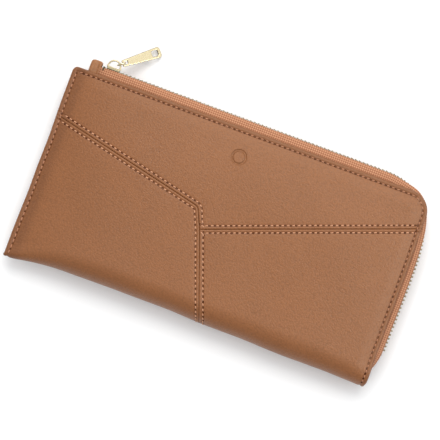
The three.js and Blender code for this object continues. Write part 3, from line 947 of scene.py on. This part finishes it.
def slider_body():
    """Two shield-shaped plates with turned lips along both sides, and the post between them."""
    low, high = local_box("slider_body")
    left, right, half = low[0], high[0], (high[2] - low[2]) / 2
    top, bottom = high[1], low[1]
    parts = []
    # half width, height of the plate's middle, lowest and highest points of its lips
    outer = (half, top - SLIDER_PLATE / 2, top - 1.4, top - 0.15)
    inner = (INNER_PLATE_SHARE * half, bottom + SLIDER_PLATE / 2, bottom + 0.15, bottom + 1.25)
    for wide, y, lip_low, lip_high in (outer, inner):
        narrow, tip = 0.84 * wide, right - 0.4
        shield = [(left, -wide), (tip, -narrow), (tip, narrow), (left, wide)]
        outline = rounded_outline(shield, (1.5, 0.9, 0.9, 1.5))
        plate = plate_mesh("plate", outline, [], SLIDER_PLATE, 0.2)
        parts.append(turned(plate, UPRIGHT, (0, y, 0)))
        bar = rounded_box((left + 0.5, lip_low), (right - 1.0, lip_high), 0.25)
        for side in (-1, 1):
            centre = side * (wide - SLIDER_LIP / 2 - 0.05)
            lip = plate_mesh("lip", bar, [], SLIDER_LIP, 0.12)
            parts.append(turned(lip, np.eye(3), (0, 0, centre)))
    wedge = [(left + 0.3, -0.6), (left + 2.6, -0.15), (left + 2.6, 0.15), (left + 0.3, 0.6)]
    post = plate_mesh("post", rounded_outline(wedge, 0.1), [], top - bottom - 0.6, 0.05)
    parts.append(turned(post, UPRIGHT, (0, (bottom + top) / 2, 0)))
    return joined(parts)


def slider_crown():
    """The arch over the slider, with small feet."""
    low, high = local_box("slider_crown")
    half_strap = CROWN_STRAP / 2
    centre = ((low[0] + high[0]) / 2, low[1], 0)
    reach, rise = (high[0] - low[0]) / 2 - half_strap, high[1] - low[1] - half_strap
    turn = np.linspace(0, math.pi, 40)
    arch = np.stack([reach * np.cos(turn), rise * np.sin(turn) ** 0.9, 0 * turn], axis=1) + centre
    parts = [tube_mesh(arch, (0, 0, 1), half_strap, (high[2] - low[2]) / 2)]
    foot = rounded_box((-0.75, -1.0), (0.75, 1.0), 0.4)
    for x in (centre[0] - reach, centre[0] + reach):
        parts.append(turned(plate_mesh("foot", foot, [], 0.4, 0.1), UPRIGHT, (x, low[1] + 0.1, 0)))
    return joined(parts)


def pull_frame():
    """Where the link holds the crown's strap, and the pull's own axes."""
    hold = np.array(joints["link_swing"]["pos_m"]) / MM - CORNER
    across = -np.array(joints["link_swing"]["axis"])
    up = np.array(joints["pull_swing"]["axis"])
    along = np.cross(across, up)
    return hold, np.array([along, across, up])


def pull_link():
    hold, axes = pull_frame()
    turn = np.arange(48) * 2 * math.pi / 48
    circle = np.stack([np.cos(turn), 0 * turn, np.sin(turn)], axis=1)
    ring = [LINK_OFFSET, 0, 0] + LINK_RADIUS * circle
    return turned(tube_mesh(ring, (0, 1, 0), LINK_WIRE, LINK_WIRE, closed=True), axes, hold)


def pull_tab():
    """The tapered pull, with a slot for the link and a round-cornered window at its wide end."""
    hold, axes = pull_frame()
    near = LINK_OFFSET + PULL_START
    far = near + PULL_LENGTH
    narrow, wide = PULL_NARROW / 2, PULL_WIDE / 2
    corners = [(near, -narrow), (far, -wide), (far, wide), (near, narrow)]
    outline = rounded_outline(corners, (0.7, 1.5, 1.5, 0.7))
    slot_start = near + PULL_BAR
    slot_end = slot_start + 2.2
    link_slot = [(slot_start, -0.75), (slot_end, -0.85), (slot_end, 0.85), (slot_start, 0.75)]
    window = [(far - 5.1, -1.45), (far - 1.6, -1.75), (far - 1.6, 1.75), (far - 5.1, 1.45)]
    holes = [rounded_outline(link_slot, 0.35), rounded_outline(window, (0.8, 1.0, 1.0, 0.8))]
    plate = plate_mesh("pull", outline, holes, PULL_THICKNESS, PULL_BEVEL)
    return turned(plate, axes, hold)


def rim_painted_shade(height, half_thickness, rim):
    """Painted shade and dark reflection on a metal part's softened sides, from its points' heights
    off its middle plane.
    """
    return 1 - smooth_step(np.abs(height), half_thickness - rim, half_thickness - 0.01)


def top_stop(node):
    """A small clamp round the tape's edge at the start of a row."""
    low, high = local_box(node)
    outline = rounded_box(low[::2], high[::2], 0.3)
    plate = plate_mesh("stop", outline, [], high[1] - low[1], 0.15)
    return turned(plate, UPRIGHT, (0, (low[1] + high[1]) / 2, 0))


def bottom_stop():
    """The block at the zip's lower end, set back a little so that the tape covers its side."""
    low, high = local_box("zip_bottom_stop")
    outline = rounded_box(low, high - [0.5, 0, 0], 0.4)
    return plate_mesh("stop", outline, [], high[2] - low[2], 0.3)


def end_tab():
    """A strip of leather folded over the zip's start, with a crease before its right edge."""
    low, high = local_box("zip_end_tab")
    u, v = np.meshgrid(np.linspace(0, 1, 30), np.linspace(0, 1, 44), indexing="ij")
    x, y = low[0] + u * (high[0] - low[0]), low[1] + v * (high[1] - low[1])
    corner = 2.0
    near_left = np.clip(corner - (x - low[0]), 0, corner)
    y = y - (corner - np.sqrt(corner**2 - near_left**2)) * smooth_step(v, 0.6, 1)
    near_right = np.clip(1.0 - (high[0] - x), 0, 1)
    y = y - 0.8 * near_right * smooth_step(v, 0.6, 1)
    edge = np.minimum(np.minimum(x - low[0], high[0] - x), high[1] - y)
    swell = np.sqrt(np.clip(1 - (1 - np.clip(edge / 1.1, 0, 1)) ** 2, 0.0, 1))
    half = (high[2] - low[2]) / 2 * swell * (0.9 - 0.35 * bump_at(x, high[0] - 1.9, 0.35)) + 0.02
    face = np.stack([x, y, half], axis=-1).reshape(-1, 3)
    flat = np.stack([x.ravel(), y.ravel() + 20, 0 * x.ravel()], axis=1)
    return slab_mesh("end_tab", face, face * [1, 1, -1], u.shape, flat)


# ---------------------------------------------------------------- materials

def srgb(red, green, blue):
    """A colour from its 0 to 255 screen values."""
    def linear(value):
        value /= 255
        return value / 12.92 if value <= 0.04045 else ((value + 0.055) / 1.055) ** 2.4
    return (linear(red), linear(green), linear(blue), 1.0)


def scaled(color, factor):
    return tuple(factor * c for c in color[:3]) + (1.0,)


class Nodes:
    """A short way to write a material's nodes."""

    def __init__(self, name):
        self.material = bpy.data.materials.new(name)
        self.material.use_nodes = True
        self.tree = self.material.node_tree
        self.shader = self.tree.nodes["Principled BSDF"]

    def node(self, kind, inputs=(), **settings):
        made = self.tree.nodes.new(kind)
        for key, value in settings.items():
            setattr(made, key, value)
        for key, value in dict(inputs).items():
            if isinstance(value, bpy.types.NodeSocket):
                self.tree.links.new(value, made.inputs[key])
            else:
                made.inputs[key].default_value = value
        return made

    def attribute(self, name, output):
        return self.node("ShaderNodeAttribute", attribute_name=name).outputs[output]

    def inside_object(self):
        return self.node("ShaderNodeTexCoord").outputs["Object"]

    def stretched(self, vector, scale):
        return self.node("ShaderNodeMapping", {"Vector": vector, "Scale": scale}).outputs[0]

    def math(self, operation, a, b=0.0):
        return self.node("ShaderNodeMath", {0: a, 1: b}, operation=operation).outputs[0]

    def remap(self, value, low, high, to_low, to_high):
        inputs = {0: value, 1: low, 2: high, 3: to_low, 4: to_high}
        return self.node("ShaderNodeMapRange", inputs).outputs[0]

    def mix(self, factor, a, b):
        return self.node("ShaderNodeMix", {0: factor, 6: a, 7: b}, data_type="RGBA").outputs[2]

    def noise(self, vector, scale, detail=3.0, roughness=0.55):
        inputs = {"Vector": vector, "Scale": scale, "Detail": detail, "Roughness": roughness}
        return self.node("ShaderNodeTexNoise", inputs).outputs["Fac"]

    def cells(self, vector, scale):
        inputs = {"Vector": vector, "Scale": scale}
        return self.node("ShaderNodeTexVoronoi", inputs, feature="SMOOTH_F1").outputs["Distance"]

    def bump(self, height, strength, distance, normal=None):
        inputs = {"Height": height, "Strength": strength, "Distance": distance}
        if normal is not None:
            inputs["Normal"] = normal
        return self.node("ShaderNodeBump", inputs).outputs[0]

    def finish(self, color, rough, normal, **values):
        """Links or sets the three inputs that most often vary, and sets the rest."""
        for socket, value in (("Base Color", color), ("Roughness", rough), ("Normal", normal)):
            if isinstance(value, bpy.types.NodeSocket):
                self.tree.links.new(value, self.shader.inputs[socket])
            else:
                self.shader.inputs[socket].default_value = value
        for key, value in values.items():
            self.shader.inputs[key.replace("_", " ")].default_value = value
        return self.material


def leather_material(name, color, dark, pebble=1.25, motif=None):
    """Fine grained leather: pebbles and pores, a little uneven, darkened by the painted shade on
    its points: in creases, seams and stitch rows, at edges and towards the left end.
    """
    made = Nodes(name)
    flat = made.attribute("flat", "Vector")
    shade = made.attribute("shade", "Fac")
    patches = made.noise(flat, 0.045, 3)
    mottle = made.noise(flat, 1.15, 4, 0.7)
    pebbles = made.cells(flat, pebble)
    pores = made.noise(flat, 5.0, 3, 0.6)
    patchy = made.remap(patches, 0.35, 0.65, 0.35, 0.65)
    tone = made.mix(patchy, scaled(color, 0.9), scaled(color, 1.1))
    tone = made.mix(made.remap(mottle, 0.25, 0.5, 0.3, 0), tone, dark)
    tone = made.mix(made.remap(mottle, 0.5, 0.75, 0, 0.5), tone, scaled(color, 1.5))
    tone = made.mix(made.remap(pebbles, 0.3, 0.8, 0, 0.22), tone, dark)
    # painted shade: each point's shade darkens the colour
    tone = made.mix(made.math("MULTIPLY", shade, 0.9), tone, dark)
    rough = made.remap(mottle, 0.3, 0.7, 0.36, 0.46)
    pebbled, porous = made.math("MULTIPLY", pebbles, -0.8), made.math("MULTIPLY", pores, 0.5)
    grain = made.math("ADD", pebbled, porous)
    grain = made.math("ADD", grain, made.math("MULTIPLY", mottle, 0.9))
    normal = made.bump(grain, 0.8, 0.0002)
    if motif:
        normal = motif(made, flat, normal)
    warm = (1.0, 0.92, 0.82, 1.0)
    return made.finish(tone, rough, normal, Specular_IOR_Level=0.42, Specular_Tint=warm)


def pressed_ring(made, flat, normal):
    """A plain ring pressed into the leather near the top of the front."""
    centre, radius = (95.0, 86.6, SIDE_MARK), 3.5
    spot = made.node("ShaderNodeVectorMath", {0: flat, 1: centre}, operation="SUBTRACT")
    length = made.node("ShaderNodeVectorMath", {0: spot.outputs[0]}, operation="LENGTH")
    from_line = made.math("ABSOLUTE", made.math("SUBTRACT", length.outputs["Value"], radius))
    inputs = {0: from_line, 1: 0.1, 2: 0.85, 3: 0.0, 4: 1.0}
    groove = made.node("ShaderNodeMapRange", inputs, interpolation_type="SMOOTHSTEP").outputs[0]
    return made.bump(groove, 1.0, 0.0005, normal)


def woven_material(name, color, dark, thread=0.34):
    """Cloth of crossing threads, with uneven tone."""
    made = Nodes(name)
    flat = made.attribute("flat", "Vector")
    parts = made.node("ShaderNodeSeparateXYZ", {0: flat})
    turn = 2 * math.pi / thread
    warp, weft = (made.math("SINE", made.math("MULTIPLY", parts.outputs[k], turn)) for k in (0, 1))
    return woven_finish(made, flat, made.math("MAXIMUM", warp, weft), color, dark, 0.85)


def twill_material(name, color, dark, pitch=1.1, row=1.15):
    """Zip tape: raised knots of thread in slanting rows."""
    made = Nodes(name)
    flat = made.attribute("flat", "Vector")
    parts = made.node("ShaderNodeSeparateXYZ", {0: flat})
    along = made.math("MULTIPLY", parts.outputs[0], math.pi / pitch)
    across = made.math("MULTIPLY", parts.outputs[1], math.pi / row)
    rising = made.math("SINE", made.math("ADD", along, across))
    falling = made.math("SINE", made.math("SUBTRACT", along, across))
    return woven_finish(made, flat, made.math("MULTIPLY", rising, falling), color, dark, 0.8)


def woven_finish(made, flat, weave, color, dark, rough):
    """What all cloth shares: painted shade where the threads dip, slubs and fuzz, hardly any shine.
    """
    slubs = made.noise(flat, 0.8, 4)
    # painted shade: darker where the weave dips
    tone = made.mix(made.remap(weave, -0.5, 0.7, 0, 1), dark, color)
    tone = made.mix(made.remap(slubs, 0.3, 0.7, 0, 0.3), tone, dark)
    fuzz = made.noise(flat, 9.0, 2)
    height = made.math("ADD", weave, made.math("MULTIPLY", fuzz, 0.6))
    normal = made.bump(height, 0.6, 0.0001)
    roughness = made.remap(slubs, 0.2, 0.8, rough - 0.08, rough + 0.08)
    return made.finish(tone, roughness, normal, Sheen_Weight=0.05, Specular_IOR_Level=0.2)


def thread_material(name, color, dark):
    """Twisted sewing thread, with painted shade in the grooves between its strands."""
    made = Nodes(name)
    flat = made.attribute("flat", "Vector")
    parts = made.node("ShaderNodeSeparateXYZ", {0: flat})
    along = made.math("MULTIPLY", parts.outputs[0], 11.0)
    slant = made.math("MULTIPLY", parts.outputs[1], 2.0)
    strand = made.math("SINE", made.math("ADD", along, slant))
    # painted shade in the grooves between the strands
    tone = made.mix(made.remap(strand, -1, 0.4, 0, 1), dark, color)
    normal = made.bump(strand, 0.5, 0.00006)
    return made.finish(tone, made.remap(strand, -1, 1, 0.62, 0.45), normal, Sheen_Weight=0.2)


def hole_material(name):
    """Painted shade: the inside of a needle's hole drawn dark, standing in for the shade in it."""
    made = Nodes(name)
    place_in = made.inside_object()
    # painted shade inside the holes
    tone = made.mix(made.noise(place_in, 900.0), srgb(66, 18, 6), srgb(38, 9, 3))
    rough = made.remap(made.noise(place_in, 2000.0), 0.3, 0.7, 0.8, 0.95)
    normal = made.bump(made.noise(place_in, 3000.0), 0.3, 0.00005)
    return made.finish(tone, rough, normal, Specular_IOR_Level=0.0)


def metal_material(name, color, dark, rough):
    """Plated metal, with faint brushing, tiny scratches and a little dulling."""
    made = Nodes(name)
    flat = made.attribute("flat", "Vector")
    brushing = made.noise(made.stretched(flat, (0.5, 6.0, 6.0)), 4.0, 3)
    dulling = made.noise(flat, 0.5, 4)
    tone = made.mix(made.remap(dulling, 0.35, 0.75, 0, 0.2), color, dark)
    # darker by each point's shade: painted shade and dark reflection on rims, and an even darkening
    # of some parts
    tone = made.mix(made.attribute("shade", "Fac"), tone, scaled(dark, 0.3))
    roughness = made.remap(brushing, 0.3, 0.7, rough - 0.03, rough + 0.05)
    normal = made.bump(brushing, 0.05, 0.00002)
    return made.finish(tone, roughness, normal, Metallic=1.0)


def board_material(name, color, dark):
    """Fibre board, streaked along its length."""
    made = Nodes(name)
    flat = made.attribute("flat", "Vector")
    fibres = made.noise(made.stretched(flat, (0.4, 3.0, 1.0)), 1.2, 6)
    tone = made.mix(made.remap(fibres, 0.3, 0.7, 0, 1), color, dark)
    rough = made.remap(fibres, 0.3, 0.7, 0.8, 0.95)
    return made.finish(tone, rough, made.bump(fibres, 0.3, 0.0001))


def floor_material():
    made = Nodes("pale_floor")
    place_in = made.inside_object()
    tone = made.mix(made.noise(place_in, 6.0), (0.93, 0.93, 0.93, 1), (0.95, 0.95, 0.95, 1))
    return made.finish(tone, 0.7, made.bump(made.noise(place_in, 300.0), 0.02, 0.0002))


TAN = srgb(137, 85, 47)
TAN_DARK = srgb(78, 40, 18)
cover_leather = leather_material("cover_leather", TAN, TAN_DARK, motif=pressed_ring)
tab_leather = leather_material("tab_leather", srgb(149, 98, 60), TAN_DARK)
POCKET, POCKET_DARK = srgb(128, 80, 48), srgb(66, 36, 18)
pocket_leather = leather_material("pocket_leather", POCKET, POCKET_DARK, pebble=2.2)
lining_cloth = woven_material("lining_cloth", srgb(120, 80, 50), srgb(76, 46, 28))
tape_cloth = twill_material("tape_cloth", srgb(203, 149, 114), srgb(144, 91, 62))
seam_thread = thread_material("seam_thread", srgb(222, 164, 124), srgb(164, 104, 66))
edge_thread = thread_material("edge_thread", srgb(190, 130, 92), srgb(134, 80, 50))
needle_hole_shade = hole_material("needle_hole_shade")
teeth_brass = metal_material("teeth_brass", srgb(108, 101, 82), srgb(66, 61, 48), 0.4)
slider_gold = metal_material("slider_gold", srgb(211, 198, 163), srgb(180, 160, 118), 0.26)
fibre_board = board_material("fibre_board", srgb(188, 172, 148), srgb(150, 132, 106))


# ---------------------------------------------------------------- the wallet's pieces

def add_covers():
    front = (
        ("front_upper_leather", upper_grid()),
        ("front_left_leather", lower_left_grid()),
        ("front_right_leather", lower_right_grid()),
    )
    for node, grid in front:
        piece = patch_mesh(node + "_skin", grid, 1)
        finish_piece(piece, cover_leather, "cover_leather", stands_for=(node,))
    back = patch_mesh("back_leather_skin", back_grid(), -1)
    finish_piece(back, cover_leather, "cover_leather", "wallet_back", ("back_leather",))


def add_stitching():
    left, zip_side = edge_rows()
    # name, lines, half a stitch's length, half a needle hole's, thread
    seams = (("seam", seam_rows(), 0.76, 0.68, seam_thread),)
    edges = (
        ("zip_edge", [zip_side], 0.7, 0.72, edge_thread),
        ("left_edge", [left], 0.85, 0.5, edge_thread),
    )
    for side, cover, rows in ((1, "front", seams + edges), (-1, "back", edges)):
        body = None if side > 0 else "wallet_back"
        for row, lines, half_stitch, half_hole, thread in rows:
            name = f"{cover}_{row}"
            threads = thread_mesh(name + "_stitches", side, lines, half_stitch)
            finish_piece(threads, thread, "cover_leather", body)
            holes = hole_mesh(name + "_needle_hole_shade", side, lines, half_hole)
            finish_piece(holes, needle_hole_shade, "cover_leather", body)


def add_inside():
    # spans: left, right, bottom and top
    board_span = (25, 184, 13, 93)
    lining_span = (18, 189, 12.5, 97)
    slip_span = (28, 182, 13.5, 80)
    board_depth = LEATHER + GAP
    lining_depth = board_depth + BOARD + GAP
    pocket_depth = lining_depth + LINING + GAP
    for side, cover in ((1, "front"), (-1, "back")):
        body = None if side > 0 else "wallet_back"
        stiffener = inner_sheet(cover + "_stiffener", side, board_depth, BOARD, board_span)
        finish_piece(stiffener, fibre_board, "stiffener_board", body, (cover + "_board",))
        name = cover + "_lining_cloth"
        lining = inner_sheet(name, side, lining_depth, LINING, lining_span, corner=8)
        finish_piece(lining, lining_cloth, "lining_cloth", body, (cover + "_lining",))
    slip = inner_sheet("front_slip_pocket_leather", 1, pocket_depth, LINING, slip_span, hem=0.2)
    finish_piece(slip, pocket_leather, "pocket_leather", None, ("front_slip_pocket",))
    for i in range(CARD_STRIPS):
        depth = pocket_depth + i * (CARD_STRIP + GAP)
        span = (28, 182, 13.5, 90 - i * CARD_STEP)
        node = f"card_slot_{i + 1}"
        strip = inner_sheet(node + "_leather", -1, depth, CARD_STRIP, span, hem=0.1)
        finish_piece(strip, pocket_leather, "pocket_leather", "wallet_back", (node,))
    low, high = local_box("centre_divider")
    span = (low[0], high[0], low[1], high[1])
    divider = flat_sheet("centre_divider_cloth", low[2], high[2] - low[2], span)
    finish_piece(divider, lining_cloth, "lining_cloth", "wallet_back", ("centre_divider",))


def add_zip():
    brass, gold = (teeth_brass, "zip_metal"), (slider_gold, "slider_metal")
    for side, cover, body in ((1, "front", None), (-1, "back", "wallet_back")):
        tape = tape_mesh(f"zip_tape_{cover}_weave", side)
        finish_piece(tape, tape_cloth, "zip_tape_cloth", body, (f"zip_tape_{cover}",))
        teeth = teeth_mesh(f"zip_teeth_{cover}_row", side)
        finish_piece(teeth, *brass, body, (f"zip_teeth_{cover}",))
        stop = f"zip_top_stop_{cover}"
        clamp = top_stop(stop)
        darkening = np.full(len(clamp[0]), 0.5)
        metal_piece(stop + "_clamp", clamp, *brass, "wallet_back", stop, darkening)
    metal_piece("zip_bottom_stop_box", bottom_stop(), *brass, "wallet_back", "zip_bottom_stop")
    finish_piece(end_tab(), tab_leather, "cover_leather", "wallet_back", ("zip_end_tab",))
    slider = slider_body()
    darkening = np.full(len(slider[0]), 0.45)
    metal_piece("zip_slider_body", slider, *gold, "zip_slider", "slider_body", darkening)
    crown = slider_crown()
    crown_half = local_box("slider_crown")[1][2]
    # painted shade and dark reflection on the crown's sides, over an even darkening
    darkening = 0.25 + 0.65 * rim_painted_shade(crown[0][:, 2], crown_half, 0.4 * crown_half)
    metal_piece("zip_slider_crown", crown, *gold, "zip_slider", "slider_crown", darkening)
    metal_piece("zip_pull_link", pull_link(), *gold, "zip_link", "pull_link")
    hold, axes = pull_frame()
    pull = pull_tab()
    # painted shade and dark reflection on the pull's softened rim
    darkening = rim_painted_shade((pull[0] - hold) @ axes[2], PULL_THICKNESS / 2, 0.08)
    metal_piece("zip_pull_tab", pull, *gold, "zip_pull", "pull_tab", darkening)


# ---------------------------------------------------------------- floor, light and camera

def add_stage():
    floor = bpy.data.meshes.new("floor")
    half = 2.5  # metres
    corners = [(-half, -half, 0), (half, -half, 0), (half, half, 0), (-half, half, 0)]
    floor.from_pydata(corners, [], [(0, 1, 2, 3)])
    floor.materials.append(floor_material())
    ground = bpy.data.objects.new("floor", floor)
    ground.location.z = -0.0002
    bpy.context.scene.collection.objects.link(ground)

    add_sky()
    add_light("key", (-0.15, 0.93, 1.28), size=1.0, power=13.7, color=(1.0, 0.985, 0.96))
    sheen = add_light("sheen", (0.85, 0.1, 0.95), size=0.5, power=10.0, color=(1.0, 0.95, 0.88))
    sheen.visible_diffuse = False


def add_sky():
    """Soft light from all round, brighter overhead and towards the wallet's top edge."""
    world = bpy.data.worlds.new("studio")
    world.use_nodes = True
    tree = world.node_tree
    background = tree.nodes["Background"]
    background.inputs["Color"].default_value = (0.97, 0.985, 1.0, 1)
    direction = tree.nodes.new("ShaderNodeTexCoord").outputs["Generated"]
    facing = tree.nodes.new("ShaderNodeVectorMath")
    facing.operation = "DOT_PRODUCT"
    facing.inputs[1].default_value = Vector((0.0, 0.45, 0.9)).normalized()
    tree.links.new(direction, facing.inputs[0])
    glow = tree.nodes.new("ShaderNodeMapRange")
    for k, value in enumerate((-0.2, 1.0, 0.39, 1.3)):
        glow.inputs[k + 1].default_value = value
    tree.links.new(facing.outputs["Value"], glow.inputs[0])
    tree.links.new(glow.outputs[0], background.inputs["Strength"])
    bpy.context.scene.world = world


def add_light(name, position, size, power, color):
    """A square lamp at a place in metres, aimed at the frame's origin."""
    lamp = bpy.data.lights.new(name, "AREA")
    lamp.shape = "SQUARE"
    lamp.size = size
    lamp.energy = power
    lamp.color = color
    holder = bpy.data.objects.new(name, lamp)
    holder.location = position
    holder.rotation_euler = (-Vector(position)).to_track_quat("-Z", "Y").to_euler()
    bpy.context.scene.collection.objects.link(holder)
    return holder


def add_camera():
    """Straight above the wallet, with a long lens, turned: the top edge falls to the right."""
    roll = math.radians(20.3)
    height = 1.6  # metres above the wallet's mid-plane
    view_width = 0.2223  # metres, at the height of the front face
    centre = place([97.0, 53.5, 0])
    lens = bpy.data.cameras.new("camera")
    lens.sensor_width = 36
    lens.lens = 36 * (height - HALF * MM) / view_width
    lens.clip_end = 20
    holder = bpy.data.objects.new("camera", lens)
    holder.location = (centre[0], centre[1], centre[2] + height)
    holder.rotation_euler = (0, 0, roll)
    bpy.context.scene.collection.objects.link(holder)
    bpy.context.scene.camera = holder


add_camera()
add_stage()
add_covers()
add_stitching()
add_inside()
add_zip()
bpy.context.scene.view_settings.view_transform = "Standard"
